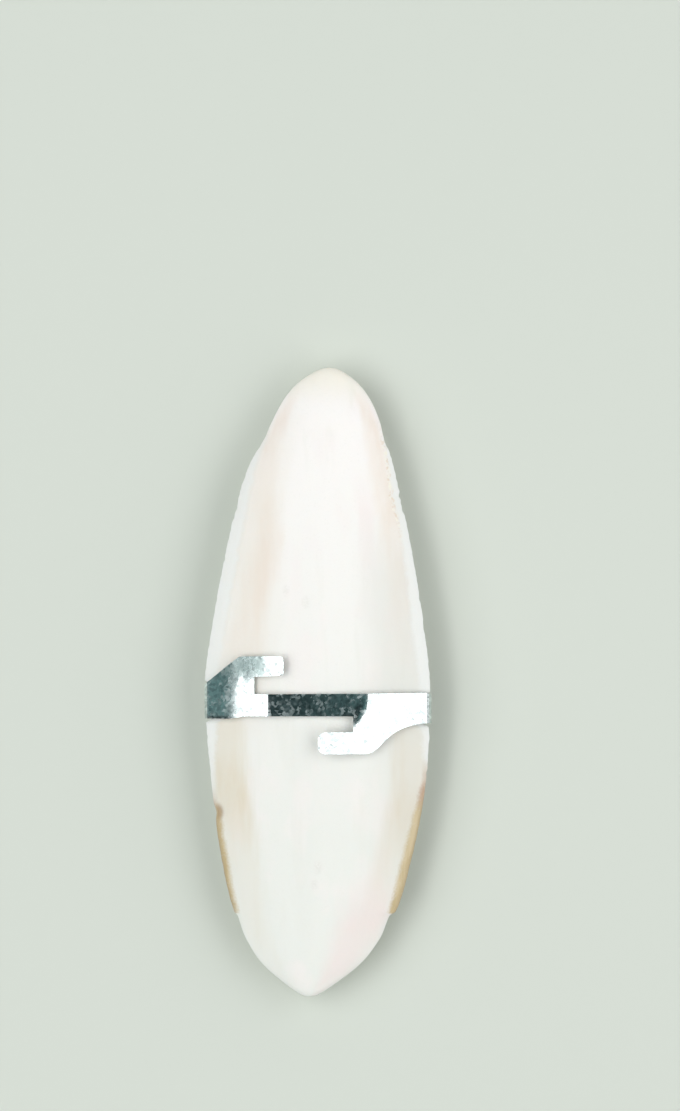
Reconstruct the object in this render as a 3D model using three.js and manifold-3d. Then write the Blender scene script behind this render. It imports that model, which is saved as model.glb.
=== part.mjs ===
// A cuttlebone held in a bent sheet-steel holder clip, lying on its chambered belly.
// Millimetres. +Z is up, out of the hard shield on the bone's back. +Y points to the rounded front
// tip and +X to the right, seen from above. The origin is under the middle of the whole thing.
import * as THREE from "three";
import { mergeVertices } from "three/addons/utils/BufferGeometryUtils.js";
import Module from "manifold-3d";

const wasm = await Module();
wasm.setup();

// ---- Driving dimensions: the bone --------------------------------------------------------------

const LENGTH = 114.3;
const HALF_LENGTH = LENGTH / 2;
const RIM_HALF_THICKNESS = 0.3; // the shield's edge is a thin brittle plate
const NOSE = 1.6; // length over which both tips round off to a point
const BELLY_WIDTH = 0.93; // the chambered belly's share of the shield's width
const SHIELD_POWER = 2.2; // 2 is a parabola; more is flatter on top and steeper at the rim
const BELLY_POWER = 2.6;
const BELLY_ROUNDING = 0.85;
const RINGS = 56; // cross-sections from tip to tip
const RING_POINTS = 48; // corners of one cross-section

// Cross-sections, each at a distance back from the front tip. Full is the half width that an ellipse
// as long as the bone would need to pass through the outline there. Lean is the middle line's shift
// to the right. Rim is the height of the edge. Crown is the shield's rise above the rim, and belly
// is how far the chambered side hangs below it.
const STATIONS = [
  // back, full, lean, rim, crown, belly
  [0, 14.8, 2.0, 6.4, 0.5, 0.4],
  [3, 17.6, 1.75, 6.8, 1.1, 1.9],
  [10, 17.5, 1.4, 7.4, 2.2, 3.9],
  [20, 18.1, 0.4, 8.0, 3.0, 6.2],
  [31, 18.4, 0.2, 8.5, 3.4, 7.7],
  [46, 19.4, 0.0, 8.9, 3.8, 8.85],
  [56, 20.3, -0.1, 8.9, 3.8, 8.8],
  [76, 20.5, 0.1, 8.35, 3.5, 6.6],
  [90, 20.8, -0.3, 7.7, 3.05, 4.0],
  [98, 21.1, -0.6, 7.25, 2.6, 2.6],
  [104, 20.9, -0.95, 6.9, 2.1, 1.7],
  [109, 19.4, -1.25, 6.7, 1.5, 1.0],
  [LENGTH, 12.5, -1.6, 6.5, 0.6, 0.4],
];

// ---- Driving dimensions: the holder clip -------------------------------------------------------

const SHEET = 0.5;
const CLEARANCE = 0.45; // between the bent sheet and the bone
const CLIP_BACK = 57; // the cross-section that the sheet is bent to, back from the front tip
const CLIP_HALF_SPAN = 20.55; // outside of the bends, left and right
const BEND_INSIDE = 1.0; // inner radius of the bends round the rim
const BEND_HEIGHT = 8.9; // height of the bends' centres
const CLAW_SLOPE = THREE.MathUtils.degToRad(48); // a claw falls as it goes inwards under the rim
const CLAW_LENGTH = 5;
const CLAW_CORNER = 1.3;
const LEFT_CLAW = { low: -6.5, high: -0.45 }; // extent along Y
const RIGHT_CLAW = { low: -7.35, high: -2.4 };
const NOTCH_MARGIN = 0.4; // the rim is crushed back this far inside and behind a claw,
const NOTCH_FRONT = 0.95; // and this far in front of it, where the sheet's shoulder overhangs
const NOTCH_HALF_HEIGHT = 1.5;

// Seen from the back, the sheet is bent to shape over the bone in a few places. At each bend it gets
// steeper by slope, spread over a length of twice its half. Between them it is nearly straight, with
// a fall of MIDDLE_CROWN times the square of the distance from the middle.
const MIDDLE_CROWN = 0.0012; // per mm
const SHOULDER_BENDS = [
  { start: 8.9, half: 0.3, slope: 0.235 },
  { start: 15.8, half: 0.9, slope: 0.19 },
];

// The wire slots lie between the band and its two hooks. Root is the closed end.
const LEFT_SLOT = { root: -11.46, low: -2.05, high: 1.1 };
const RIGHT_SLOT = { root: 6.36, low: -8.87, high: -6.0 };

// Each hook ends at tip. Its side towards the slot flares away from the band by flare, and its two
// corners there have the radii slotCorner and farCorner.
const LEFT_HOOK = { tip: -6.2, top: 4.8, flare: 0.25, slotCorner: 0.65, farCorner: 0.7 };
const RIGHT_HOOK = { tip: 0.0, bottom: -12.8, slotCorner: 1.3, farCorner: 1.4 };

// The band is bent flat at the inner shoulder bends, but the hooks run straight on from the shoulders
// and so stand off the band. These are the bends of each hook, on top of those of the sheet.
const LEFT_BENDS = [
  { start: -15.6, half: 0.9, slope: 0.05 },
  { start: -10.6, half: 1.6, slope: -0.05 },
  { start: -8.9, half: 0.3, slope: 0.235 },
];
const RIGHT_BENDS = [{ start: 9.0, half: 0.6, slope: 0.2 }];

// Corners and curves of the stamped outline between the claws and the hooks.
const OUTSIDE = 21.5; // safely past both ends of the bent sheet
const SKY = 30; // safely above everything
const LEFT_STEP = { start: -16.0, end: -13.0, y: -6.0 }; // the band narrows here along its lower edge
const LEFT_SHOULDER = { start: -13.6, corner: -14.4, end: -15.0, drop: 0.75 };
const RIGHT_SWEEP = { start: 8.6, startPull: 11.5, endPull: 11.9, end: 19.4, sag: 0.4 };
const RIGHT_CORNER = { x: 19.4, y: -1.85 };

// ---- The bone's shape --------------------------------------------------------------------------

const stations = new THREE.CubicInterpolant(
  STATIONS.map((row) => row[0]),
  STATIONS.flatMap((row) => row.slice(1)),
  STATIONS[0].length - 1,
);

function sectionAt(back) {
  const [full, lean, rim, crown, belly] = stations.evaluate(back);
  const ellipse = (2 * Math.sqrt(back * (LENGTH - back))) / LENGTH;
  const fromTip = Math.min(back, LENGTH - back, NOSE);
  const nose = Math.sqrt(1 - (1 - fromTip / NOSE) ** 2);
  return { halfWidth: full * ellipse, lean, rim, crown, belly, nose };
}

function edgePlate(across) {
  return RIM_HALF_THICKNESS * Math.sqrt(1 - across ** 8);
}

// Height of the shield's upper surface. Across runs from -1 at the left rim to 1 at the right rim.
function shieldHeight(at, across) {
  const arch = at.crown * (1 - Math.abs(across) ** SHIELD_POWER);
  return at.rim + at.nose * (arch + edgePlate(across));
}

// Height of the belly's surface. It never goes below the plane that the bone lies on.
function bellyHeight(at, across) {
  const inside = Math.min(1, Math.abs(across) / BELLY_WIDTH);
  const bulge = at.belly * (1 - inside ** BELLY_POWER) ** BELLY_ROUNDING;
  return Math.max(0, at.rim - at.nose * (bulge + edgePlate(across)));
}

// A sphere whose poles are the two tips is pressed into the bone's shape, ring by ring.
function boneGeometry() {
  const geometry = new THREE.SphereGeometry(1, RING_POINTS, RINGS);
  const position = geometry.attributes.position;
  for (let i = 0; i < position.count; i += 1) {
    const y = position.getY(i);
    const ring = Math.sqrt(Math.max(0, 1 - y * y));
    const across = ring < 1e-3 ? 0 : THREE.MathUtils.clamp(position.getX(i) / ring, -1, 1);
    const at = sectionAt(THREE.MathUtils.clamp(HALF_LENGTH * (1 - y), 0, LENGTH));
    const height = position.getZ(i) > 0 ? shieldHeight(at, across) : bellyHeight(at, across);
    position.setXYZ(i, at.lean + at.halfWidth * across, HALF_LENGTH * y, height);
  }
  return geometry;
}

// ---- Solids ------------------------------------------------------------------------------------

function solidOf(geometry) {
  geometry.deleteAttribute("normal");
  geometry.deleteAttribute("uv");
  const merged = mergeVertices(geometry);
  const vertProperties = new Float32Array(merged.attributes.position.array);
  const triVerts = new Uint32Array(merged.index.array);
  return new wasm.Manifold(new wasm.Mesh({ numProp: 3, vertProperties, triVerts }));
}

function meshOf(solid, name, material) {
  const { vertProperties, triVerts } = solid.getMesh();
  const geometry = new THREE.BufferGeometry();
  geometry.setAttribute("position", new THREE.BufferAttribute(vertProperties, 3));
  geometry.setIndex(new THREE.BufferAttribute(triVerts, 1));
  geometry.computeVertexNormals();
  const mesh = new THREE.Mesh(geometry, material);
  mesh.name = name;
  return mesh;
}

// An upright prism over an outline in the XY plane.
function prism(shape, low, high) {
  const settings = { depth: high - low, bevelEnabled: false, curveSegments: 8 };
  const geometry = new THREE.ExtrudeGeometry(shape, settings);
  geometry.translate(0, 0, low);
  return solidOf(geometry);
}

function rectangle(left, right, low, high) {
  const shape = new THREE.Shape();
  shape.moveTo(left, low);
  shape.lineTo(right, low);
  shape.lineTo(right, high);
  shape.lineTo(left, high);
  return shape;
}

// ---- The holder clip ---------------------------------------------------------------------------

// How far a bent line has risen at x, with towards the direction in which it is followed.
function climb(x, bends, towards) {
  return bends.reduce((rise, { start, half, slope }) => {
    const past = (x - start) * towards;
    if (past <= -half) return rise;
    return rise + slope * (past < half ? (past + half) ** 2 / (4 * half) : past);
  }, 0);
}

// The middle line of the sheet in the XZ plane, from the middle of the band to the end of the right
// claw: over the shield, round the rim and in under it.
function rightCentreLine() {
  const at = sectionAt(CLIP_BACK);
  const top = shieldHeight(at, 0) + CLEARANCE + SHEET / 2;
  const radius = BEND_INSIDE + SHEET / 2;
  const bendX = CLIP_HALF_SPAN - BEND_INSIDE - SHEET;
  const sheetHeight = (x) => top - MIDDLE_CROWN * x * x - climb(x, SHOULDER_BENDS, 1);
  const topSlope = Math.atan((sheetHeight(bendX - 0.1) - sheetHeight(bendX + 0.1)) / 0.2);
  const from = Math.PI / 2 - topSlope;
  const bend = new THREE.Path().absarc(bendX, BEND_HEIGHT, radius, from, CLAW_SLOPE - Math.PI / 2, true);
  const bendPoints = bend.getPoints(10);
  const points = [];
  const steps = 48;
  for (let i = 0; i < steps; i += 1) {
    const x = (i / steps) * bendPoints[0].x;
    points.push(new THREE.Vector2(x, sheetHeight(x)));
  }
  const inwards = new THREE.Vector2(-Math.cos(CLAW_SLOPE), -Math.sin(CLAW_SLOPE));
  const clawEnd = bendPoints.at(-1).clone().addScaledVector(inwards, CLAW_LENGTH);
  return [...points, ...bendPoints, clawEnd];
}

// Both faces of the sheet: each point of the middle line moved half a thickness to either side.
function sheetProfile() {
  const right = rightCentreLine();
  const left = right.slice(1).map((point) => new THREE.Vector2(-point.x, point.y));
  const line = [...left.reverse(), ...right];
  const offset = (side) => line.map((point, i) => {
    const before = line[Math.max(0, i - 1)];
    const after = line[Math.min(line.length - 1, i + 1)];
    const along = after.clone().sub(before).normalize();
    return new THREE.Vector2(point.x - along.y * side, point.y + along.x * side);
  });
  return new THREE.Shape([...offset(SHEET / 2), ...offset(-SHEET / 2).reverse()]);
}

// How far a hook is lifted off the bone at x, with towards the direction in which it points. Just
// past its tip there is only waste sheet, which stays down.
function hookLift(x, bends, tip, towards) {
  return (x - tip) * towards > 1 ? 0 : climb(x, bends, towards);
}

// The sheet before its outline is cut. Its rows along Y follow the slots' sides, so that the sheet
// beyond a slot can rise into a hook while the band stays down.
function bentSheet() {
  const rows = [
    { y: LEFT_HOOK.top + 1, hook: "left" },
    { y: LEFT_SLOT.high, hook: "left" },
    { y: LEFT_SLOT.low },
    { y: RIGHT_SLOT.high },
    { y: RIGHT_SLOT.low, hook: "right" },
    { y: RIGHT_HOOK.bottom - 1, hook: "right" },
  ];
  const settings = { depth: rows.length - 1, steps: rows.length - 1, bevelEnabled: false };
  const geometry = new THREE.ExtrudeGeometry(sheetProfile(), settings);
  geometry.rotateX(Math.PI / 2);
  const position = geometry.attributes.position;
  for (let i = 0; i < position.count; i += 1) {
    const row = rows[Math.round(-position.getY(i))];
    const x = position.getX(i);
    let lift = 0;
    if (row.hook === "left") lift = hookLift(x, LEFT_BENDS, LEFT_HOOK.tip, 1);
    if (row.hook === "right") lift = hookLift(x, RIGHT_BENDS, RIGHT_HOOK.tip, -1);
    position.setXYZ(i, x, row.y, position.getZ(i) + lift);
  }
  return solidOf(geometry);
}

// The lower edge of the stamped sheet and its right hook, from the left end to the right end.
function lowerEdge(shape) {
  const { tip, bottom, slotCorner, farCorner } = RIGHT_HOOK;
  const { start, startPull, endPull, end, sag } = RIGHT_SWEEP;
  shape.moveTo(-OUTSIDE, LEFT_CLAW.low);
  shape.lineTo(LEFT_STEP.start, LEFT_CLAW.low);
  shape.lineTo(LEFT_STEP.end, LEFT_STEP.y);
  shape.lineTo(RIGHT_SLOT.root, RIGHT_SLOT.high);
  shape.lineTo(RIGHT_SLOT.root, RIGHT_SLOT.low);
  shape.lineTo(tip + slotCorner, RIGHT_SLOT.low);
  shape.quadraticCurveTo(tip, RIGHT_SLOT.low, tip, RIGHT_SLOT.low - slotCorner);
  shape.lineTo(tip, bottom + farCorner);
  shape.absarc(tip + farCorner, bottom + farCorner, farCorner, Math.PI, 1.5 * Math.PI, false);
  shape.lineTo(start, bottom);
  shape.bezierCurveTo(startPull, bottom, endPull, RIGHT_CLAW.low - sag, end, RIGHT_CLAW.low);
  shape.lineTo(OUTSIDE, RIGHT_CLAW.low);
}

// The upper edge of the stamped sheet and its left hook, from the right end back to the left end.
function upperEdge(shape) {
  const { tip, top, flare, slotCorner, farCorner } = LEFT_HOOK;
  const slotSide = LEFT_SLOT.high + flare;
  const { start, corner, end, drop } = LEFT_SHOULDER;
  shape.lineTo(OUTSIDE, RIGHT_CLAW.high);
  shape.lineTo(CLIP_HALF_SPAN, RIGHT_CLAW.high);
  shape.quadraticCurveTo(CLIP_HALF_SPAN, RIGHT_CORNER.y, RIGHT_CORNER.x, RIGHT_CORNER.y);
  shape.lineTo(LEFT_SLOT.root, LEFT_SLOT.low);
  shape.lineTo(LEFT_SLOT.root, LEFT_SLOT.high);
  shape.lineTo(tip - slotCorner, slotSide);
  shape.quadraticCurveTo(tip, slotSide, tip, slotSide + slotCorner);
  shape.lineTo(tip, top - farCorner);
  shape.quadraticCurveTo(tip, top, tip - farCorner, top);
  shape.lineTo(start, top);
  shape.quadraticCurveTo(corner, top, end, top - drop);
  shape.lineTo(-CLIP_HALF_SPAN, LEFT_CLAW.high);
  shape.lineTo(-OUTSIDE, LEFT_CLAW.high);
}

// The outline of the claw under the right rim, with round inner corners.
function clawOutline({ low, high }) {
  const slopeRun = Math.cos(CLAW_SLOPE) * CLAW_LENGTH;
  const inner = CLIP_HALF_SPAN - BEND_INSIDE - SHEET + Math.sin(CLAW_SLOPE) * BEND_INSIDE - slopeRun;
  const shape = new THREE.Shape();
  shape.moveTo(OUTSIDE, high);
  shape.lineTo(inner + CLAW_CORNER, high);
  shape.absarc(inner + CLAW_CORNER, high - CLAW_CORNER, CLAW_CORNER, Math.PI / 2, Math.PI, false);
  shape.absarc(inner + CLAW_CORNER, low + CLAW_CORNER, CLAW_CORNER, Math.PI, 1.5 * Math.PI, false);
  shape.lineTo(OUTSIDE, low);
  return shape;
}

function clipSolid() {
  const stamped = new THREE.Shape();
  lowerEdge(stamped);
  upperEdge(stamped);
  const above = prism(stamped, BEND_HEIGHT, SKY);
  const rightBelow = prism(clawOutline(RIGHT_CLAW), 0, BEND_HEIGHT);
  const mirrored = { low: -LEFT_CLAW.high, high: -LEFT_CLAW.low };
  const leftBelow = prism(clawOutline(mirrored), 0, BEND_HEIGHT).rotate([0, 0, 180]);
  return bentSheet().intersect(above.add(rightBelow).add(leftBelow));
}

// ---- The assembly ------------------------------------------------------------------------------

// The brittle rim is crushed back where each claw grips it.
function rimNotch({ low, high }, side) {
  const inner = CLIP_HALF_SPAN - SHEET - NOTCH_MARGIN;
  const ends = [side * inner, side * (OUTSIDE + 1)].sort((a, b) => a - b);
  const outline = rectangle(ends[0], ends[1], low - NOTCH_MARGIN, high + NOTCH_FRONT);
  return prism(outline, BEND_HEIGHT - NOTCH_HALF_HEIGHT, BEND_HEIGHT + NOTCH_HALF_HEIGHT);
}

function boneSolid() {
  const whole = solidOf(boneGeometry());
  return whole.subtract(rimNotch(LEFT_CLAW, -1)).subtract(rimNotch(RIGHT_CLAW, 1));
}

const chalk = new THREE.MeshStandardMaterial({ color: "#f6f5f0", roughness: 0.8, metalness: 0 });
const galvanised = new THREE.MeshStandardMaterial({ color: "#aab2b2", roughness: 0.3, metalness: 1 });

const part = new THREE.Group();
part.add(meshOf(boneSolid(), "cuttlebone", chalk));
part.add(meshOf(clipSolid(), "holder_clip", galvanised));

// The frame's origin is under the middle of everything, on the plane that the bone lies on.
const box = new THREE.Box3().setFromObject(part);
const middle = box.getCenter(new THREE.Vector3());
part.children.forEach((mesh) => mesh.position.set(-middle.x, -middle.y, -box.min.z));

export default part;
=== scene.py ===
# %% [markdown]
# # A cuttlebone in its holder clip
#
# A cuttlebone is the chalky inner shell of a cuttlefish. Pet shops sell it for cage birds, held
# by a strip of galvanised steel whose two hooks hang on the wires of the cage. This lesson models
# both around a CAD frame that already fixes their sizes: the frame says where things are, and the
# cells below make them look like what they are.

# %% Load the frame
import bisect
import math

import bmesh
import bpy
from mathutils import Matrix, Vector, noise


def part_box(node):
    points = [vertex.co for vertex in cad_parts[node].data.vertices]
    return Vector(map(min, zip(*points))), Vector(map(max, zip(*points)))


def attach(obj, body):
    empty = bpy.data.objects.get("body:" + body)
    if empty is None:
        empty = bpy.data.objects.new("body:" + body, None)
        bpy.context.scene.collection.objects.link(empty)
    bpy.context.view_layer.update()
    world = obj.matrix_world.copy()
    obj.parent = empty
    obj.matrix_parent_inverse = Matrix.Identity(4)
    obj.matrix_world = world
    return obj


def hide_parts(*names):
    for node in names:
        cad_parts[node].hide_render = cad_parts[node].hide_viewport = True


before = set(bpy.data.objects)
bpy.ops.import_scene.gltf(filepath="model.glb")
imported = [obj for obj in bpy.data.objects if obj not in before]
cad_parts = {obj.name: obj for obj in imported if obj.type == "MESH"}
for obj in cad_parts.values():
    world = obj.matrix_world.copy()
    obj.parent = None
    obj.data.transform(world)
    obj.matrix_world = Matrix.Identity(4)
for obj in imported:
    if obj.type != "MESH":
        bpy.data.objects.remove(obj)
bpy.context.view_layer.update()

MM = 0.001
bone_low, bone_high = (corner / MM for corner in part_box("cuttlebone"))
clip_low, clip_high = (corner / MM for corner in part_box("holder_clip"))
LENGTH = bone_high.y - bone_low.y
FRONT = bone_high.y
print("bone, mm:", [round(side, 1) for side in bone_high - bone_low])
print("clip, mm:", [round(side, 1) for side in clip_high - clip_low])

# %% [markdown]
# ## Small helpers
#
# Every shape here is worked out in millimetres from a few formulas, and only the finished mesh is
# scaled to metres. `ease` is the usual S-shaped step between two values, `bump` is a smooth hill
# one unit high, and `curve_through` draws a smooth curve through a short list of stations. A
# curve is better than a formula for a grown shape, because each number in the list can be checked
# on its own.

# %% Steps, hills and curves
def ease(value, start, end):
    """0 before start, 1 after end, and an S-shaped step between them."""
    share = min(1.0, max(0.0, (value - start) / (end - start)))
    return share * share * (3 - 2 * share)


def bump(value, centre, width):
    return math.exp(-(((value - centre) / width) ** 2))


def curve_through(rows):
    """A function that gives every column of rows at a place along the first one."""
    places = [row[0] for row in rows]

    def slope(i, column):
        before, after = rows[max(0, i - 1)], rows[min(len(rows) - 1, i + 1)]
        return (after[column] - before[column]) / (after[0] - before[0])

    def at(place):
        i = min(len(rows) - 2, max(0, bisect.bisect_right(places, place) - 1))
        run = places[i + 1] - places[i]
        t = (place - places[i]) / run
        values = []
        for column in range(1, len(rows[0])):
            start, end = rows[i][column], rows[i + 1][column]
            lift = t * t * (3 - 2 * t)
            lean_in = t * (1 - t) ** 2 * run * slope(i, column)
            lean_out = t * t * (t - 1) * run * slope(i + 1, column)
            values.append(start + (end - start) * lift + lean_in + lean_out)
        return values

    return at


# %% [markdown]
# ## The bone's cross-sections
#
# Seen from above a cuttlebone is nearly an ellipse, drawn in at the front and filled out towards
# the back. From the side it is a shallow boat: a gently arched hard shield on top and a deep
# chambered belly below, thickest ahead of the middle. Each station gives six facts about one
# cross-section, so that the whole body can be moved into place ring by ring.

# %% Stations from tip to tip
STATIONS = [
    # back, full, lean, rim, crown, belly
    [0, 14.8, 2.0, 6.4, 0.5, 0.4],
    [3, 17.6, 1.75, 6.8, 1.1, 1.9],
    [10, 17.5, 1.4, 7.4, 2.2, 3.9],
    [20, 18.1, 0.4, 8.0, 3.0, 6.2],
    [31, 18.4, 0.2, 8.5, 3.4, 7.7],
    [46, 19.4, 0.0, 8.9, 3.8, 8.85],
    [56, 20.3, -0.1, 8.9, 3.8, 8.8],
    [76, 20.5, 0.1, 8.35, 3.5, 6.6],
    [90, 20.8, -0.3, 7.7, 3.05, 4.0],
    [98, 21.1, -0.6, 7.25, 2.6, 2.6],
    [104, 20.9, -0.95, 6.9, 2.1, 1.7],
    [109, 19.4, -1.25, 6.7, 1.5, 1.0],
    [LENGTH, 12.5, -1.6, 6.5, 0.6, 0.4],
]
NOSE = 1.6
station_at = curve_through(STATIONS)


class Section:
    """One cross-section of the bone, at a distance back from the front tip, in millimetres."""

    def __init__(self, back):
        full, self.lean, self.rim, self.crown, self.belly = station_at(back)
        self.back = back
        self.half = full * 2 * math.sqrt(max(0.0, back * (LENGTH - back))) / LENGTH
        from_tip = min(back, LENGTH - back, NOSE)
        self.nose = math.sqrt(max(0.0, 1 - (1 - from_tip / NOSE) ** 2))


widest = max((Section(back / 2) for back in range(1, 228)), key=lambda section: section.half)
print("widest", round(2 * widest.half, 1), "mm, at", widest.back, "mm from the front tip")

# %% [markdown]
# ## The rim
#
# The shield is edged by a thin horny margin. Towards the back it is thick, glossy and amber, and
# it stops short in a small step. Further forward it is a papery flange with a nibbled edge, and
# the front tip has none. The claws of the clip have crushed the rim back a little where they grip
# it. All of that is a change of the half width along the edge, so it is one function of the
# distance back and of the side.

# %% Edge of the shield
LEFT_CLAW = (-6.5, -0.45)
RIGHT_CLAW = (-7.35, -2.4)
CLAW_ROOM = 1.0
STRIP_END = 99.0
margin_at = curve_through([
    # back, left width, right width
    [0, 0, 0], [10.5, 0, 0], [14, 0.6, 0.5], [20, 1.7, 1.3], [30, 2.3, 1.6], [45, 2.6, 2.2],
    [60, 2.3, 2.1], [68, 1.7, 1.3], [74, 0.8, 0.7], [78, 0.7, 1.1], [83, 1.1, 1.7],
    [90, 1.25, 1.9], [STRIP_END, 0.8, 1.5], [LENGTH, 0.8, 1.5],
])


def claw_notch(back, side):
    low, high = LEFT_CLAW if side < 0 else RIGHT_CLAW
    y = FRONT - back
    return ease(y, low - 0.75, low - 0.15) * (1 - ease(y, high + 0.15, high + 0.75))


def ragged(back, side):
    """Small nibbles and scallops of the papery flange."""
    fine = noise.noise(Vector((back * 1.3, 7.1 * side, 0.4)))
    coarse = noise.noise(Vector((back * 0.3, 3.3 * side, 2.9)))
    chip = max(0.0, noise.noise(Vector((back * 0.7, 9.7 * side, 5.2))) - 0.3)
    scallop = abs(math.sin(back * math.pi / 1.45)) - 0.6
    scallop *= ease(back, 12, 15) * (1 - ease(back, 27, 33)) * (0.12 if side > 0 else 0.06)
    return 0.11 * fine + 0.06 * coarse - 0.5 * chip + scallop


def edge_change(back, side):
    """How far the outline stands outside the smooth one, in millimetres."""
    papery = ease(back, 11, 15) * (1 - ease(back, 72, 78))
    horny = ease(back, 74, 78) * (1 - ease(back, STRIP_END, STRIP_END + 1))
    shoulder = -0.34 * bump(back, 13.0, 2.2) - 0.25 * bump(back, 24.9, 1.6)
    strip_step = (0.3 if side > 0 else 0.12) * ease(back, 88, STRIP_END)
    strip_step -= (0.85 if side > 0 else 0.4) * ease(back, STRIP_END - 0.2, STRIP_END + 0.6)
    strip_step *= 1 - ease(back, STRIP_END + 0.8, STRIP_END + 5)
    wavy = 0.06 * noise.noise(Vector((back * 0.7, 5.0 * side, 8.8)))
    broken = -0.35 * bump(back, 80.6, 1.0) if side < 0 else 0.0
    notch = CLAW_ROOM * claw_notch(back, side)
    return papery * ragged(back, side) + horny * wavy + shoulder + strip_step + broken - notch


print("margin widths at the middle, mm:", [round(width, 2) for width in margin_at(57)])

# %% [markdown]
# ## The two faces of the bone
#
# The shield is smooth, with a faint broad rib down the middle, fine grains and a slight step
# where the horny margin begins. The belly is made of hundreds of paper-thin chambers laid down
# one after another: the front part is the smooth roof of the last chamber, and behind it their
# edges show as arched lines, like a stack of slipped cards. At the very back they are framed by a
# raised, U-shaped lip. A saw-tooth along the arched lines gives real terraces that also show in
# the bare mesh.

# %% Heights of the shield and the belly
RIM_HALF_THICKNESS = 0.3
BELLY_WIDTH = 0.93
STRIATED_FROM = 40.0
TERRACE = 1.25


def arched(across, back):
    """Distance back along the midline of the growth line that passes through this place."""
    return back - 7.5 * across * across - 1.2 * bump(across, 0, 0.16)


def edge_plate(across):
    return RIM_HALF_THICKNESS * math.sqrt(max(0.0, 1 - across**8))


def shield_relief(x, y, across, back, inset):
    inner = ease(inset, 0.0, 1.5)
    rib = 0.16 * bump(across, 0, 0.1) - 0.09 * bump(abs(across), 0.26, 0.09)
    rib *= ease(back, 14, 40) * (1 - ease(back, 100, 112))
    swell = 0.12 * noise.noise(Vector((x / 9, y / 18, 1.3)))
    ripple = 0.035 * noise.noise(Vector((x / 2.1, y / 5.5, 4.7)))
    grain = 0.016 * noise.noise(Vector((x / 0.8, y / 0.9, 0.2)))
    return inner * (rib + swell + ripple) + grain


def shield_height(at, across, x, y, inset, width):
    arch = at.crown * (1 - abs(across) ** 2.2)
    step = 0.1 * (1 - ease(inset, width - 0.5, width + 0.3)) * ease(width, 0.1, 0.6)
    relief = shield_relief(x, y, across, at.back, inset)
    return at.rim + at.nose * (arch + edge_plate(across) - step + relief)


def terraces(line):
    """A saw-tooth with a rounded nose: each chamber's edge stands a little over the next."""
    phase = (line / TERRACE) % 1.0
    return phase * (1 - ease(phase, 0.78, 1.0))


def belly_relief(x, y, across, back):
    line = arched(across, back) + 0.35 * noise.noise(Vector((x / 6, y / 6, 3.3)))
    striated = ease(line, STRIATED_FROM, STRIATED_FROM + 3) * (1 - ease(back, 100, 106))
    striated *= 1 - ease(abs(across), 0.8, 0.88)
    steps = 0.11 * striated * (terraces(line) - 0.4)
    roof = 0.05 * (1 - striated) * noise.noise(Vector((x / 7, y / 3.5, 6.1)))
    furrow = -0.34 * bump(across, 0, 0.11) * ease(back, 46, 60) * (1 - ease(back, 98, 106))
    rough = 0.02 * noise.noise(Vector((x / 0.9, y / 0.9, 7.7)))
    return steps + roof + furrow + rough


def inner_lip(across, back):
    """The U-shaped lip that frames the last of the striated part."""
    level = (abs(across) / 0.8) ** 2.2 + (max(0.0, back - 78) / 30) ** 3
    return 0.42 * bump(level, 1.0, 0.13) * ease(back, 78, 92)


def belly_height(at, across, x, y):
    inside = min(1.0, abs(across) / BELLY_WIDTH)
    bulge = at.belly * (1 - inside**2.6) ** 0.85
    hollow = 0.35 * ease(at.back, 92, 102) * ease(abs(across), 0.45, 0.75)
    hollow *= 1 - ease(abs(across), 0.88, 0.97)
    relief = belly_relief(x, y, across, at.back) * ease(1 - inside, 0.0, 0.08)
    depth = bulge + relief + inner_lip(across, at.back) - hollow
    return max(0.0, at.rim - at.nose * (depth + edge_plate(across)))


# %% [markdown]
# ## Pressing a sphere into a bone
#
# A bone has two tips, and so has a UV sphere: its poles. So the mesh starts as a sphere, laid on
# its side so that the poles become the tips, and every vertex is moved to its place on its own
# ring. That keeps the surface closed and its faces even, which cutting a block to shape wouldn't.
# The facts that the finish needs later, such as how far a place lies from the rim, are kept as
# attributes on the vertices.

# %% Make the bone
RINGS = 344
RING_POINTS = 288
RIM_REACH = 9
DIMPLES = [
    # x, distance back, radius, depth
    (-2.2, 42.7, 1.1, 0.03), (-5.8, 40.5, 0.9, 0.03), (0.0, 90.6, 1.2, 0.05),
    (-0.7, 93.7, 1.0, 0.05), (-18.0, 80.6, 1.1, 0.2),
]
ATTRIBUTES = ["across", "back", "under", "inset", "width", "line", "dimple"]


def spaced(share):
    """Distance back of a ring: closer together at the tips, but less so than on the sphere."""
    return LENGTH * (0.5 * share + 0.25 * (1 - math.cos(math.pi * share)))


def strip_ends(back):
    """The margin narrows to nothing at the back end of the horny strip."""
    return 1 - ease(back, STRIP_END - 0.2, STRIP_END + 0.5)


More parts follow.
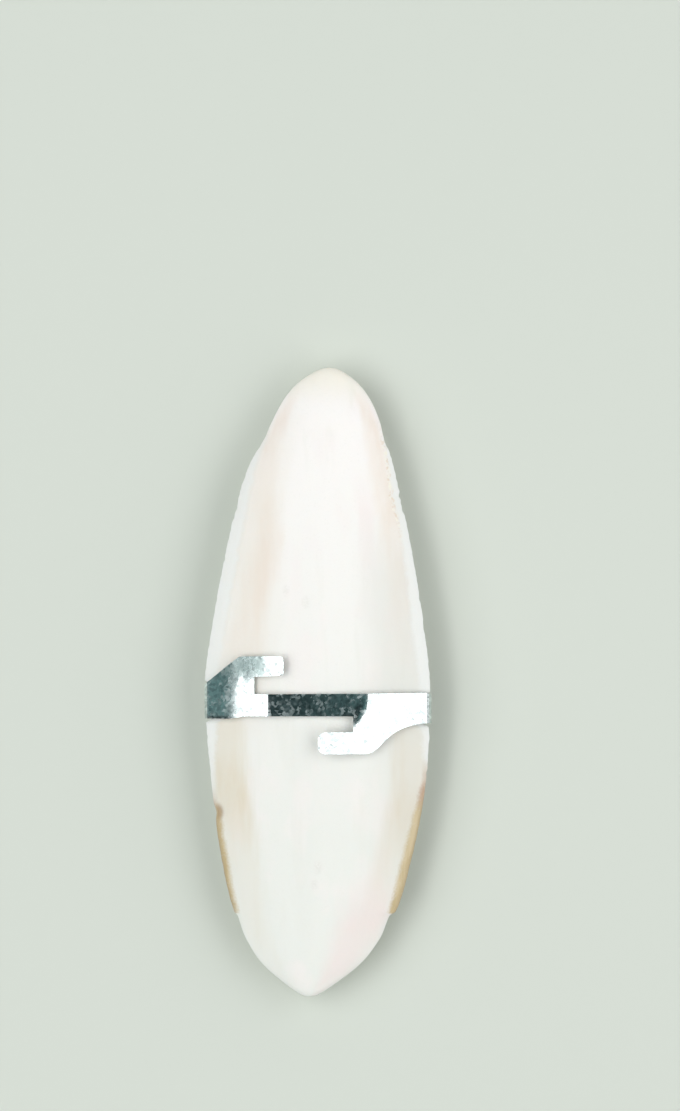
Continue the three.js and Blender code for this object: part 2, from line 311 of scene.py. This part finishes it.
def press(vert, store):
    polar = max(-1.0, min(1.0, vert.co.z))
    back = spaced(math.acos(polar) / math.pi)
    ring = math.sqrt(max(0.0, 1 - polar * polar))
    across = max(-1.0, min(1.0, vert.co.x / ring)) if ring > 1e-4 else 0.0
    upper = vert.co.y < 0
    side = -1 if across < 0 else 1
    at = Section(back)
    change = edge_change(back, side) * ease(at.half, 0.5, 6)
    x = at.lean + at.half * across + change * side * abs(across) ** RIM_REACH
    y = FRONT - back
    inset = at.half + change - abs(x - at.lean)
    width = margin_at(back)[0 if side < 0 else 1] * strip_ends(back)
    width *= 1 + 0.16 * noise.noise(Vector((back * 0.5, side * 4.0, 1.1)))
    dimple = 0.0
    if upper:
        z = shield_height(at, across, x, y, inset, width)
        for centre_x, centre_back, radius, depth in DIMPLES:
            share = bump(math.hypot(x - centre_x, 0.6 * (back - centre_back)), 0, radius)
            z -= share * depth * at.nose
            dimple = max(dimple, share)
    else:
        z = belly_height(at, across, x, y)
    vert.co = (x, y, z)
    store["across"] = across
    store["back"] = back
    store["under"] = 0.0 if upper else 1.0
    store["inset"] = inset
    store["width"] = width
    store["line"] = arched(across, back)
    store["dimple"] = dimple


def finished_mesh(bm, name):
    """Turns a bmesh in millimetres into an object in metres, at the origin."""
    bmesh.ops.scale(bm, vec=(MM, MM, MM), verts=bm.verts)
    mesh = bpy.data.meshes.new(name)
    bm.to_mesh(mesh)
    bm.free()
    piece = bpy.data.objects.new(name, mesh)
    bpy.context.scene.collection.objects.link(piece)
    return piece


def make_bone():
    bm = bmesh.new()
    bmesh.ops.create_uvsphere(bm, u_segments=RING_POINTS, v_segments=RINGS, radius=1.0)
    layers = {name: bm.verts.layers.float.new(name) for name in ATTRIBUTES}
    for vert in bm.verts:
        store = {}
        press(vert, store)
        for name, layer in layers.items():
            vert[layer] = store[name]
    for face in bm.faces:
        face.smooth = True
    return finished_mesh(bm, "cuttlebone_shell")


bone = make_bone()
print("bone:", len(bone.data.polygons), "faces")

# %% [markdown]
# ## The bent line of the clip
#
# The clip is stamped flat from 0.5 mm sheet and then bent over the bone, and it is modelled the
# same way. First comes the line that the sheet is bent along, seen from the back: a nearly flat
# middle, a shoulder that is bent down in two places, round the rim and in under it. Measured by
# its own length, it says where any point of the flat blank ends up, so nothing is stretched.
# `climb` adds up the bends of a line: each one makes it steeper by a slope, spread over a short
# stretch on either side.

# %% Centre line of the sheet
SHEET = 0.5
CLEARANCE = 0.45
CLIP_BACK = 57
CLIP_HALF_SPAN = clip_high.x
BEND_INSIDE = 1.0
BEND_HEIGHT = 8.9
CLAW_SLOPE = math.radians(48)
CLAW_LENGTH = 5.0
TOP_STEPS = 80
BEND_STEPS = 24
MIDDLE_CROWN = 0.0012
SHOULDER_BENDS = [
    # distance from the middle, half of its own length, slope
    (8.9, 0.3, 0.235), (15.8, 0.9, 0.19),
]


def climb(x, bends, towards=1):
    """How far a line has risen at x, coming from its flat side, after all of these bends."""
    rise = 0.0
    for start, half, slope in bends:
        past = (x - start) * towards
        if past > half:
            rise += slope * past
        elif past > -half:
            rise += slope * (past + half) ** 2 / (4 * half)
    return rise


def sheet_height(x):
    at = Section(CLIP_BACK)
    top = at.rim + at.crown + RIM_HALF_THICKNESS + CLEARANCE + SHEET / 2
    return top - MIDDLE_CROWN * x * x - climb(abs(x), SHOULDER_BENDS)


def right_centre_line():
    radius = BEND_INSIDE + SHEET / 2
    bend_x = CLIP_HALF_SPAN - BEND_INSIDE - SHEET
    fall = math.atan((sheet_height(bend_x - 0.1) - sheet_height(bend_x + 0.1)) / 0.2)
    start, end = math.pi / 2 - fall, CLAW_SLOPE - math.pi / 2
    turns = [start + (end - start) * i / BEND_STEPS for i in range(BEND_STEPS + 1)]
    bend = [
        Vector((bend_x + radius * math.cos(turn), BEND_HEIGHT + radius * math.sin(turn)))
        for turn in turns
    ]
    places = [bend[0].x * i / TOP_STEPS for i in range(TOP_STEPS)]
    top = [Vector((x, sheet_height(x))) for x in places]
    claw_end = bend[-1] - CLAW_LENGTH * Vector((math.cos(CLAW_SLOPE), math.sin(CLAW_SLOPE)))
    return top + bend + [claw_end]


LINE = right_centre_line()
RUN = [0.0]
for before, after in zip(LINE, LINE[1:]):
    RUN.append(RUN[-1] + (after - before).length)
BLANK_HALF = RUN[-1]


def run_to(x):
    """Length along the sheet from the middle to the place above x, with x's own sign."""
    i = next(i for i, point in enumerate(LINE) if point.x >= abs(x)) if x else 1
    share = (abs(x) - LINE[i - 1].x) / (LINE[i].x - LINE[i - 1].x)
    return math.copysign(RUN[i - 1] + share * (RUN[i] - RUN[i - 1]), x)


def on_sheet(run):
    """The place and the outward normal of the bent sheet at a length along it."""
    i = min(len(RUN) - 2, max(0, bisect.bisect_right(RUN, abs(run)) - 1))
    share = (abs(run) - RUN[i]) / (RUN[i + 1] - RUN[i])
    point = LINE[i].lerp(LINE[i + 1], share)

    def direction(k):
        return (LINE[min(k + 1, len(LINE) - 1)] - LINE[max(k - 1, 0)]).normalized()

    along = direction(i).lerp(direction(i + 1), share).normalized()
    side = math.copysign(1.0, run)
    return Vector((side * point.x, 0, point.y)), Vector((-side * along.y, 0, along.x))


print("flat blank:", round(2 * BLANK_HALF, 1), "mm long")

# %% [markdown]
# ## The stamped blank
#
# The blank is one outline: a narrow band, a hook above its left end and one below its right end,
# and a claw beyond each. The outline is drawn where it is seen from above and measured along the
# sheet. It becomes a single face, which planes cut into a grid fine enough to bend.

# %% Outline of the blank
def quarter(centre, radius, start, steps=5):
    """Points of a quarter circle, anticlockwise from start, in degrees."""
    angles = [math.radians(start + 90 * i / steps) for i in range(steps + 1)]
    return [(centre[0] + radius * math.cos(a), centre[1] + radius * math.sin(a)) for a in angles]


def sweep(a, b, c, d, steps=12):
    """Points of a Bezier curve from a to d, pulled towards b and c."""
    shares = [i / steps for i in range(steps + 1)]
    weights = [((1 - t) ** 3, 3 * t * (1 - t) ** 2, 3 * t * t * (1 - t), t**3) for t in shares]
    pulls = (a, b, c, d)
    return [tuple(sum(w * p[k] for w, p in zip(ws, pulls)) for k in (0, 1)) for ws in weights]


def blank_outline():
    """The outline anticlockwise, as (length along the sheet, Y)."""
    end, corner = BLANK_HALF, 1.3
    seen = []
    seen += [(-16.0, LEFT_CLAW[0]), (-13.0, -6.0), (6.36, -6.0), (6.36, -8.87)]
    seen += quarter((1.3, -10.17), 1.3, 90)
    seen += quarter((1.4, -11.4), 1.4, 180)
    seen += sweep((8.6, -12.8), (11.5, -12.8), (11.9, RIGHT_CLAW[0] - 0.4), (19.4, RIGHT_CLAW[0]))
    lower = [(run_to(x), y) for x, y in seen]
    right = quarter((end - corner, RIGHT_CLAW[0] + corner), corner, 270)
    right += quarter((end - corner, RIGHT_CLAW[1] - corner), corner, 0)
    seen = [(20.25, RIGHT_CLAW[1]), (20.1, -2.1), (19.85, -1.92)]
    seen += [(19.4, -1.85), (-11.46, -2.05), (-11.46, 1.1), (-6.85, 1.35)]
    seen += quarter((-6.75, 1.9), 0.55, 270)
    seen += quarter((-6.9, 4.1), 0.7, 0)
    seen += [(-13.6, 4.8), (-14.15, 4.7), (-14.6, 4.42), (-20.2, -0.3)]
    upper = [(run_to(x), y) for x, y in seen]
    left = quarter((-end + corner, LEFT_CLAW[1] - corner), corner, 90)
    left += quarter((-end + corner, LEFT_CLAW[0] + corner), corner, 180)
    return lower + right + upper + left


outline = blank_outline()
print("outline:", len(outline), "points")

# %% [markdown]
# The band is bent flat at the inner bends, but the hooks aren't: they run straight on from the
# shoulders, so they stand off the band and a wire can slide in under them. That lift fades out
# over the width of each slot, where there is no metal, and slantwise across the root of each
# hook. A real strip is never quite even, so the finished sheet is also given a few thousandths of
# a millimetre of waviness, which is enough to break up its reflections.

# %% Bend the blank
LEFT_BENDS = [(-15.6, 0.9, 0.05), (-10.6, 1.6, -0.05), (-8.9, 0.3, 0.235)]
RIGHT_BENDS = [(9.0, 0.6, 0.2)]
LEFT_ARM = -13.7
LEFT_SLANT = 2.5
LEFT_FADE = (-0.4, 2.4)
RIGHT_ROOT = 6.4
RIGHT_FADE = (4.9, 8.1)
BESIDE_RIGHT_SLOT = (4.4, 6.4)
BELOW_RIGHT_SLOT = (6.1, 8.8)
UNEVENNESS = 0.006
EDGE_BEVEL = 0.07
GRID = 0.3
BEND_CUTS = 16
CLAW_CUTS = 4
CROSS_CUTS = 35
CROSS_START = -12.45
CROSS_GRID = 0.49
RIM_ANGLE = 1.2
CREASE_ANGLE = math.radians(15)


def hook_lift(x, y):
    """How far the hooks and their roots stand above the bent band, in millimetres."""
    left = climb(x, LEFT_BENDS) * ease(y + LEFT_SLANT * max(0.0, LEFT_ARM - x), *LEFT_FADE)
    right = climb(x, RIGHT_BENDS, -1) * ease(max(0.0, x - RIGHT_ROOT) - y, *RIGHT_FADE)
    return left + right * max(ease(x, *BESIDE_RIGHT_SLOT), ease(-y, *BELOW_RIGHT_SLOT))


def bend_blank(vert):
    run, y, level = vert.co
    place, normal = on_sheet(run)
    uneven = UNEVENNESS * noise.noise(Vector((run / 2.5, y / 2.5, 2.0)))
    place += normal * (level + uneven)
    vert.co = (place.x, y, place.z + hook_lift(place.x, y))


def cut(bm, place, direction):
    everything = bm.verts[:] + bm.edges[:] + bm.faces[:]
    bmesh.ops.bisect_plane(bm, geom=everything, dist=1e-5, plane_co=place, plane_no=direction)


def make_clip():
    bm = bmesh.new()
    bm.faces.new([bm.verts.new((run, y, -SHEET / 2)) for run, y in outline])
    bend_start = RUN[TOP_STEPS]
    bend_end = RUN[TOP_STEPS + BEND_STEPS]
    cuts = [GRID * i for i in range(1, int(bend_start / GRID))]
    cuts += [bend_start + (bend_end - bend_start) * i / BEND_CUTS for i in range(BEND_CUTS + 1)]
    cuts += [bend_end + 1.0 * i for i in range(1, CLAW_CUTS + 1)]
    for run in [0.0] + cuts + [-run for run in cuts]:
        cut(bm, (run, 0, 0), (1, 0, 0))
    for i in range(CROSS_CUTS):
        cut(bm, (0, CROSS_START + CROSS_GRID * i, 0), (0, 1, 0))
    bmesh.ops.recalc_face_normals(bm, faces=bm.faces)
    if bm.faces[0].normal.z > 0:
        bmesh.ops.reverse_faces(bm, faces=bm.faces)
    grown = bmesh.ops.extrude_face_region(bm, geom=bm.faces[:], use_keep_orig=True)
    lifted = [item for item in grown["geom"] if isinstance(item, bmesh.types.BMVert)]
    bmesh.ops.translate(bm, verts=lifted, vec=(0, 0, SHEET))
    bmesh.ops.recalc_face_normals(bm, faces=bm.faces)
    rims = [edge for edge in bm.edges if edge.calc_face_angle(0) > RIM_ANGLE and
            abs(edge.verts[0].co.z - edge.verts[1].co.z) < 1e-6]
    bmesh.ops.bevel(bm, geom=rims, offset=EDGE_BEVEL, segments=2, profile=0.5, affect="EDGES",
                    material=-1, clamp_overlap=True)
    for vert in bm.verts:
        bend_blank(vert)
    for face in bm.faces:
        face.smooth = True
    for edge in bm.edges:
        edge.smooth = edge.calc_face_angle(0) < CREASE_ANGLE
    return finished_mesh(bm, "holder_clip_sheet")


clip = make_clip()
print("clip:", len(clip.data.polygons), "faces")

# %% [markdown]
# ## Writing a finish as sums
#
# A procedural finish is mostly arithmetic on masks. This small class wraps the output of a node,
# so that `1 - mask * 0.5` adds the Math nodes itself. Everything that isn't arithmetic on numbers
# comes from `add`: it takes the node's type, its settings and what goes into its sockets.

# %% The wire class
class Wire:
    """The output socket of a node; sums on it add Math nodes to its tree."""

    def __init__(self, tree, socket=None):
        self.tree = tree
        self.socket = socket

    def add(self, kind, settings=None, inputs=None, out=0):
        node = self.tree.nodes.new(kind)
        for name, value in (settings or {}).items():
            if name == "stops":
                set_stops(node.color_ramp, value)
            else:
                setattr(node, name, value)
        for name, value in (inputs or {}).items():
            if isinstance(value, Wire):
                self.tree.links.new(value.socket, node.inputs[name])
            else:
                node.inputs[name].default_value = value
        return Wire(self.tree, node.outputs[out])

    def maths(self, operation, *values):
        return self.add("ShaderNodeMath", {"operation": operation}, dict(enumerate(values)))

    def __add__(self, other):
        return self.maths("ADD", self, other)

    def __sub__(self, other):
        return self.maths("SUBTRACT", self, other)

    def __rsub__(self, other):
        return self.maths("SUBTRACT", other, self)

    def __mul__(self, other):
        return self.maths("MULTIPLY", self, other)

    def __truediv__(self, other):
        return self.maths("DIVIDE", self, other)

    def __abs__(self):
        return self.maths("ABSOLUTE", self)

    __radd__ = __add__
    __rmul__ = __mul__


def set_stops(ramp, stops):
    while len(ramp.elements) < len(stops):
        ramp.elements.new(0.5)
    for element, (place, value) in zip(ramp.elements, stops):
        element.position = place
        element.color = (value, value, value, 1)


# %% [markdown]
# Four patterns are used again and again: a soft step, a band between two steps, a noise stretched
# along the bone, and a colour laid over another through a mask. Colours are given as they should
# look under the lights of this scene, and `seen` turns them into the reflectance that gives that.

# %% Patterns and colours
REFLECTANCE = 0.93


def seen(red, green, blue):
    """The linear colour of a surface that shows as this colour, 0 to 255, in this light."""
    linear = [((c / 255 + 0.055) / 1.055) ** 2.4 for c in (red, green, blue)]
    return (*[REFLECTANCE * c for c in linear], 1.0)


def step(value, start, end):
    settings = {"interpolation_type": "SMOOTHSTEP"}
    return value.add("ShaderNodeMapRange", settings, {"Value": value, 1: start, 2: end})


def band(value, low, high, soft):
    return step(value, low - soft, low + soft) * (1 - step(value, high - soft, high + soft))


def along(value, stops):
    """A strength that changes along the bone, from stops of (share of the length, strength)."""
    return value.add("ShaderNodeValToRGB", {"stops": stops}, {"Fac": value})


def grain(place, scale, stretch=(1, 1, 1), detail=2.0, shift=0.0):
    inputs = {"Vector": place, "Location": (shift, shift, shift), "Scale": stretch}
    moved = place.add("ShaderNodeMapping", {}, inputs)
    return place.add("ShaderNodeTexNoise", {}, {"Vector": moved, "Scale": scale, "Detail": detail})


def tint(under, over, mask):
    settings = {"data_type": "RGBA"}
    return mask.add("ShaderNodeMix", settings, {0: mask, 6: under, 7: over}, out=2)


def bumped(height, strength, distance):
    inputs = {"Strength": strength, "Distance": distance, "Height": height}
    return height.add("ShaderNodeBump", {}, inputs)


def new_material(name):
    material = bpy.data.materials.new(name)
    material.use_nodes = True
    tree = material.node_tree
    return material, tree.nodes["Principled BSDF"], Wire(tree)


def feed(shader, wires):
    for name, wire in wires.items():
        wire.tree.links.new(wire.socket, shader.inputs[name])


# %% [markdown]
# ## Chalk, horn and stains
#
# The bone is chalk: nearly white, quite matt, and just open enough for light to sink in a little.
# What keeps it from looking like plaster is its faint colour. Beige and pink growth streaks run
# down both flanks, the front tip is creamy, the papery flange is a cooler grey, and the horny
# strips are amber with a darker outer edge. A broad grey band down the right flank is painted
# shade, as if less light fell on that side. Each is one mask, worked out from the attributes that
# the mesh carries, and laid over the white in turn.

# %% Finish of the bone
LAMELLA = 0.34
RIGHT_STRIP_LEAD = 5
CHALK_RELIEF = 0.12 * MM


def bone_material():
    material, shader, wire = new_material("cuttlebone_chalk")

    def attribute(name):
        return wire.add("ShaderNodeAttribute", {"attribute_name": name}, out=2)

    across, back, under = attribute("across"), attribute("back"), attribute("under")
    inset, width, line = attribute("inset"), attribute("width"), attribute("line")
    dimple = attribute("dimple")
    place = wire.add("ShaderNodeTexCoord", out=3)
    share = back / LENGTH
    on_top = 1 - under
    left, right = -1 * across, across

    fibre = grain(place, 900, (1, 0.12, 1), 3.0)
    streaky = grain(place, 300, (1, 0.14, 1), 3.0, 0.2)
    patchy = grain(place, 150, (1, 0.5, 1), 3.0, 0.3)
    fine = grain(place, 2600, (1, 1, 1), 3.0)
    uneven = step(streaky * 0.55 + patchy * 0.45, 0.36, 0.66)

    def streak(side, centre, half, stops):
        """A soft band that follows centre across the bone, as strong as stops along it."""
        away = abs(side - along(share, centre)) + (fibre - 0.5) * 0.12
        return (1 - step(away, half * 0.3, half * 1.5)) * along(share, stops) * on_top

    colour = tint(seen(254, 250, 247), seen(240, 241, 235), along(share, [(0.1, 0), (0.75, 1)]))
    colour = tint(colour, seen(250, 243, 240), step(patchy, 0.48, 0.68) * 0.5 * on_top)
    colour = tint(colour, seen(236, 236, 228), step(streaky, 0.55, 0.75) * 0.4 * on_top)

    rosy = streak(left, [(0.06, 0.82), (0.12, 0.8), (0.2, 0.7), (0.27, 0.56), (0.42, 0.66)], 0.15,
                  [(0.02, 0), (0.08, 0.8), (0.3, 1), (0.44, 0.8), (0.53, 0.35), (0.6, 0)])
    colour = tint(colour, seen(242, 226, 214), rosy * (0.35 + uneven * 0.6))
    wide = streak(left, [(0.2, 0.75), (0.4, 0.7)], 0.3,
                  [(0.04, 0), (0.2, 1), (0.5, 0.8), (0.6, 0)])
    colour = tint(colour, seen(240, 233, 221), wide * (0.3 + patchy * 0.5))
    peach = streak(right, [(0.06, 0.8), (0.16, 0.78), (0.22, 0.8), (0.36, 0.8)], 0.14,
                   [(0.03, 0), (0.08, 0.9), (0.2, 0.9), (0.28, 0.7), (0.4, 0.25), (0.5, 0)])
    colour = tint(colour, seen(240, 224, 208), peach * (0.35 + uneven * 0.6))
    pink = streak(right, [(0.2, 0.53), (0.3, 0.53)], 0.1,
                  [(0.16, 0), (0.23, 1), (0.3, 0.6), (0.36, 0)])
    colour = tint(colour, seen(248, 234, 232), pink * 0.5 * (0.4 + patchy))
    back_left = streak(left, [(0.55, 0.82), (0.66, 0.84), (0.75, 0.78)], 0.17,
                       [(0.5, 0), (0.56, 0.8), (0.68, 1), (0.76, 0.45), (0.9, 0.2), (0.97, 0)])
    colour = tint(colour, seen(222, 208, 180), back_left * (0.45 + uneven * 0.4))
    back_right = streak(right, [(0.56, 0.84), (0.68, 0.86), (0.78, 0.76)], 0.17,
                        [(0.52, 0), (0.58, 0.7), (0.68, 0.9), (0.78, 0.5), (0.9, 0.1), (0.96, 0)])
    colour = tint(colour, seen(225, 211, 188), back_right * (0.45 + uneven * 0.45))
    # A grey band down the right flank is painted shade: it darkens that side as if less light fell
    # on it.
    painted_flank_shade = streak(right, [(0.3, 0.72), (0.7, 0.8)], 0.3,
                   [(0.22, 0), (0.34, 0.9), (0.5, 1), (0.6, 0.8), (0.8, 0.4), (0.92, 0)])
    colour = tint(colour, seen(216, 217, 208), painted_flank_shade * 0.38)
    blush = streak(right, [(0.8, 0.75), (0.92, 0.6)], 0.34,
                   [(0.8, 0), (0.88, 1), (0.96, 0.8), (1, 0.3)])
    colour = tint(colour, seen(242, 229, 225), blush * (0.35 + patchy * 0.8))
    tip = (1 - step(back, 0.5, 8.0)) * 0.7
    colour = tint(colour, seen(246, 241, 226), tip)

    lamella = line.maths("PINGPONG", line, LAMELLA) / LAMELLA
    striated = under * step(line, 38, 44) * (1 - step(abs(across), 0.8, 0.9))
    colour = tint(colour, seen(232, 227, 212), striated * lamella * 0.55)
    cup = under * step(back, 88, 106) * step(abs(across), 0.5, 0.9)
    colour = tint(colour, seen(232, 220, 192), cup * 0.7)

    loose = inset + (fine - 0.5) * 0.7 + (streaky - 0.5) * 0.6
    flange = (1 - step(loose - width, -0.7, 0.5)) * step(width, 0.2, 1.0)
    horny = step(back + RIGHT_STRIP_LEAD * step(right, -0.1, 0.1), 75.5, 80.5)
    colour = tint(colour, seen(243, 244, 241), flange * (1 - horny) * 0.85)
    bead = band(inset - width, -0.3, 0.3, 0.2) * band(back, 12, 30, 3)
    bead = bead * step(right, 0.2, 0.5) * on_top
    speck = grain(place, 1500, (1, 1, 1), 1.0, 0.5)
    colour = tint(colour, seen(232, 212, 188), bead * step(speck, 0.5, 0.6) * 0.55)
    colour = tint(colour, seen(252, 248, 234), bead * (1 - step(speck, 0.38, 0.46)) * 0.8)
    amber = flange * horny
    horn = tint(seen(213, 196, 160), seen(199, 180, 139), step(fibre, 0.4, 0.65))
    horn = tint(horn, seen(186, 167, 134), 1 - step(inset, 0.0, 0.7))
    horn = tint(horn, seen(196, 168, 144), 1 - step(back, 77, 81))
    colour = tint(colour, horn, amber)
    burnt = step(dimple, 0.25, 0.9) * step(left, 0.8, 0.9) * (0.2 + 0.9 * fine)
    colour = tint(colour, seen(178, 150, 118), burnt)
    pit = step(dimple, 0.4, 1.0) * (1 - step(left, 0.7, 0.8)) * step(fine, 0.3, 0.6)
    colour = tint(colour, seen(228, 226, 219), pit * 0.35)
    colour = tint(colour, seen(230, 229, 222), step(fine, 0.55, 0.8) * 0.2)

    rough = 0.7 + 0.14 * fine - 0.32 * amber
    height = fine * 0.5 + streaky * 0.6 + fibre * 0.25 + striated * lamella * 1.4
    normal = bumped(height, 0.35, CHALK_RELIEF)
    feed(shader, {"Base Color": colour, "Roughness": rough, "Normal": normal})
    shader.inputs["Subsurface Weight"].default_value = 0.12
    shader.inputs["Subsurface Radius"].default_value = (0.0012, 0.0009, 0.0007)
    shader.inputs["Subsurface Scale"].default_value = 1.0
    shader.inputs["Specular IOR Level"].default_value = 0.35
    return material


bone.data.materials.append(bone_material())

# %% [markdown]
# ## Galvanised steel
#
# The clip is steel dipped in zinc, which freezes into a spangle of small crystals. Its face
# mirrors the studio lights, so most of its look comes from where the lights are. The crystals
# differ a little in how light they are and how much they blur what they mirror, so a dark
# reflection turns into a mottle of greys. A Voronoi pattern gives them, with its coordinates
# pushed about by a noise first, because frozen crystals don't have straight sides. The sheet
# itself is left almost smooth, and so the edge of a mirrored light stays crisp. It is blurred in
# two places: near the root of the upper hook, where the zinc is dull and its colour is darkened as
# a painted dark reflection, and along the left shoulder's outer bend, where the zinc is crazed.

# %% Finish of the clip
SPANGLE = 2000.0
SPANGLE_WANDER = 0.0003
DARK_ZINC = (0.44, 0.50, 0.50, 1)
LIGHT_ZINC = (0.92, 1.0, 1.0, 1)
# A painted dark reflection for the root of the upper hook.
PAINTED_DARK_REFLECTION_ZINC = (0.34, 0.45, 0.43, 1)


def vector_maths(operation, vector, inputs):
    return vector.add("ShaderNodeVectorMath", {"operation": operation}, {0: vector, **inputs})


def clip_material():
    material, shader, wire = new_material("galvanised_steel")
    place = wire.add("ShaderNodeTexCoord", out=3)
    wander = {"Vector": place, "Scale": 2400.0, "Detail": 1.0}
    wander = place.add("ShaderNodeTexNoise", {}, wander, out=1)
    wander = vector_maths("SUBTRACT", wander, {1: (0.5, 0.5, 0.5)})
    wander = vector_maths("SCALE", wander, {"Scale": SPANGLE_WANDER})
    pushed = vector_maths("ADD", place, {1: wander})
    crystal = {"Vector": pushed, "Scale": SPANGLE}
    crystal = place.add("ShaderNodeTexVoronoi", {"feature": "F1"}, crystal, out=1)
    tone = wire.add("ShaderNodeSeparateColor", {}, {"Color": crystal}, out=0)
    blur = wire.add("ShaderNodeSeparateColor", {}, {"Color": crystal}, out=1)
    frost = grain(place, 5200, (1, 1, 1), 2.0)
    cloud = grain(place, 450, (1, 1, 1), 2.0, 0.7)
    lightness = tone * 0.75 + step(cloud, 0.35, 0.65) * 0.25
    base = tint(DARK_ZINC, LIGHT_ZINC, lightness)
    sideways = wire.add("ShaderNodeSeparateXYZ", {}, {"Vector": place}, out=0)
    lengthways = wire.add("ShaderNodeSeparateXYZ", {}, {"Vector": place}, out=1)
    # The root of the upper hook is painted darker, a painted dark reflection, and it is also
    # rougher.
    dull_and_painted_dark = step(lengthways, 0.0004, 0.0022) * (1 - step(sideways, -0.0108, -0.0083))
    base = tint(base, PAINTED_DARK_REFLECTION_ZINC, dull_and_painted_dark * 0.5)
    crazed = band(-1 * sideways, 0.0147, 0.0166, 0.0007)
    worn = dull_and_painted_dark.maths("MAXIMUM", dull_and_painted_dark, crazed)
    rough = 0.11 + 0.21 * step(blur, 0.35, 1.0) * step(cloud, 0.2, 0.6)
    rough = rough + 0.05 * frost + 0.13 * worn
    height = cloud * 0.000012 + frost * 0.000003
    normal = bumped(height, 1.0, 1.0)
    feed(shader, {"Base Color": base, "Roughness": rough, "Normal": normal})
    shader.inputs["Metallic"].default_value = 1.0
    return material


clip.data.materials.append(clip_material())

# %% [markdown]
# ## Floor, light and camera
#
# The part lies on a plain pale floor and is seen from straight above. Two large soft lights stand
# to the left and right. They are placed by what the clip should mirror: its flat middle mirrors
# the dark sky between them, and its sloping shoulders mirror the lights themselves. A third,
# wider light fills the shadows and isn't mirrored. The dark sky has two faint patches, which keep
# the darkest steel from looking black.

# %% Floor
FLOOR_HALF = 3000.0
FLOOR_DROP = 0.05


def make_floor():
    bm = bmesh.new()
    bmesh.ops.create_grid(bm, x_segments=1, y_segments=1, size=FLOOR_HALF)
    floor = finished_mesh(bm, "floor")
    material, shader, _ = new_material("pale_floor")
    shader.inputs["Base Color"].default_value = seen(216, 221, 212)
    shader.inputs["Roughness"].default_value = 0.9
    shader.inputs["Specular IOR Level"].default_value = 0.1
    floor.data.materials.append(material)
    floor.data.transform(Matrix.Translation((0, 0, -FLOOR_DROP * MM)))
    return floor


floor = make_floor()

# %% Lights
TARGET = Vector((0, 0, 0.01))


def soft_light(name, angle, spread, length, strength, distance=0.8):
    """A soft box in the XZ plane, angle degrees to the right of straight up."""
    tilt = math.radians(angle)
    light = bpy.data.lights.new(name, "AREA")
    light.shape = "RECTANGLE"
    light.size = 2 * distance * math.tan(math.radians(spread / 2))
    light.size_y = length
    light.energy = strength * math.pi * light.size * light.size_y
    lamp = bpy.data.objects.new(name, light)
    lamp.location = TARGET + distance * Vector((math.sin(tilt), 0, math.cos(tilt)))
    lamp.rotation_euler = (0, tilt, 0)
    bpy.context.scene.collection.objects.link(lamp)
    print(name, "watts:", round(light.energy, 2))
    return lamp


soft_light("right_soft_box", 37.0, 36.8, 1.1, 2.0)
soft_light("left_soft_box", -27.2, 12.0, 1.1, 3.0)
fill = soft_light("overhead_fill", -33, 50, 1.4, 2.2, distance=1.5)
fill.visible_glossy = False


DARK_SKY = (0.022, 0.042, 0.044, 1)
RIGHT_PATCH = (0.11, 0.20, 0.20, 1)
LEFT_PATCH = (0.145, 0.245, 0.245, 1)
HORIZON = (1.0, 1.0, 1.0, 1)


def make_world():
    """Dark overhead but for two faint patches, bright low on the right and dim low on the left."""
    world = bpy.data.worlds.new("studio")
    world.use_nodes = True
    tree = world.node_tree
    wire = Wire(tree)
    direction = wire.add("ShaderNodeTexCoord", out=0)
    sideways, lengthways, height = [
        wire.add("ShaderNodeSeparateXYZ", {}, {"Vector": direction}, out=axis) for axis in range(3)
    ]
    low_down = 1 - step(height, 0.35, 0.62)
    glow = low_down * (0.15 + 0.85 * step(sideways, -0.75, 0.6))
    abreast = 1 - step(abs(lengthways), 0.16, 0.34)
    sky = tint(DARK_SKY, RIGHT_PATCH, band(sideways, 0.03, 0.24, 0.04) * abreast)
    sky = tint(sky, LEFT_PATCH, (1 - step(sideways, -0.7, -0.45)) * abreast)
    colour = tint(sky, HORIZON, glow)
    background = tree.nodes["Background"]
    tree.links.new(colour.socket, background.inputs["Color"])
    background.inputs["Strength"].default_value = 0.9
    bpy.context.scene.world = world


make_world()

# %% Camera
FRAME_HEIGHT = 200.9 * MM
FRAME_CENTRE = Vector((3.98, 23.0)) * MM
DISTANCE = 1.0
BONE_PLANE = 0.011

camera_data = bpy.data.cameras.new("camera")
camera_data.sensor_width = 36
camera_data.lens = 36 * DISTANCE / FRAME_HEIGHT
camera = bpy.data.objects.new("camera", camera_data)
camera.location = (FRAME_CENTRE.x, FRAME_CENTRE.y, BONE_PLANE + DISTANCE)
bpy.context.scene.collection.objects.link(camera)
bpy.context.scene.camera = camera
bpy.context.scene.view_settings.view_transform = "Standard"

# %% [markdown]
# ## Put the pieces in place
#
# Each piece rides on the one body and takes the place of its CAD node, which is hidden.

# %% Ride and replace
for piece, node in ((bone, "cuttlebone"), (clip, "holder_clip")):
    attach(piece, "root")
    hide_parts(node)
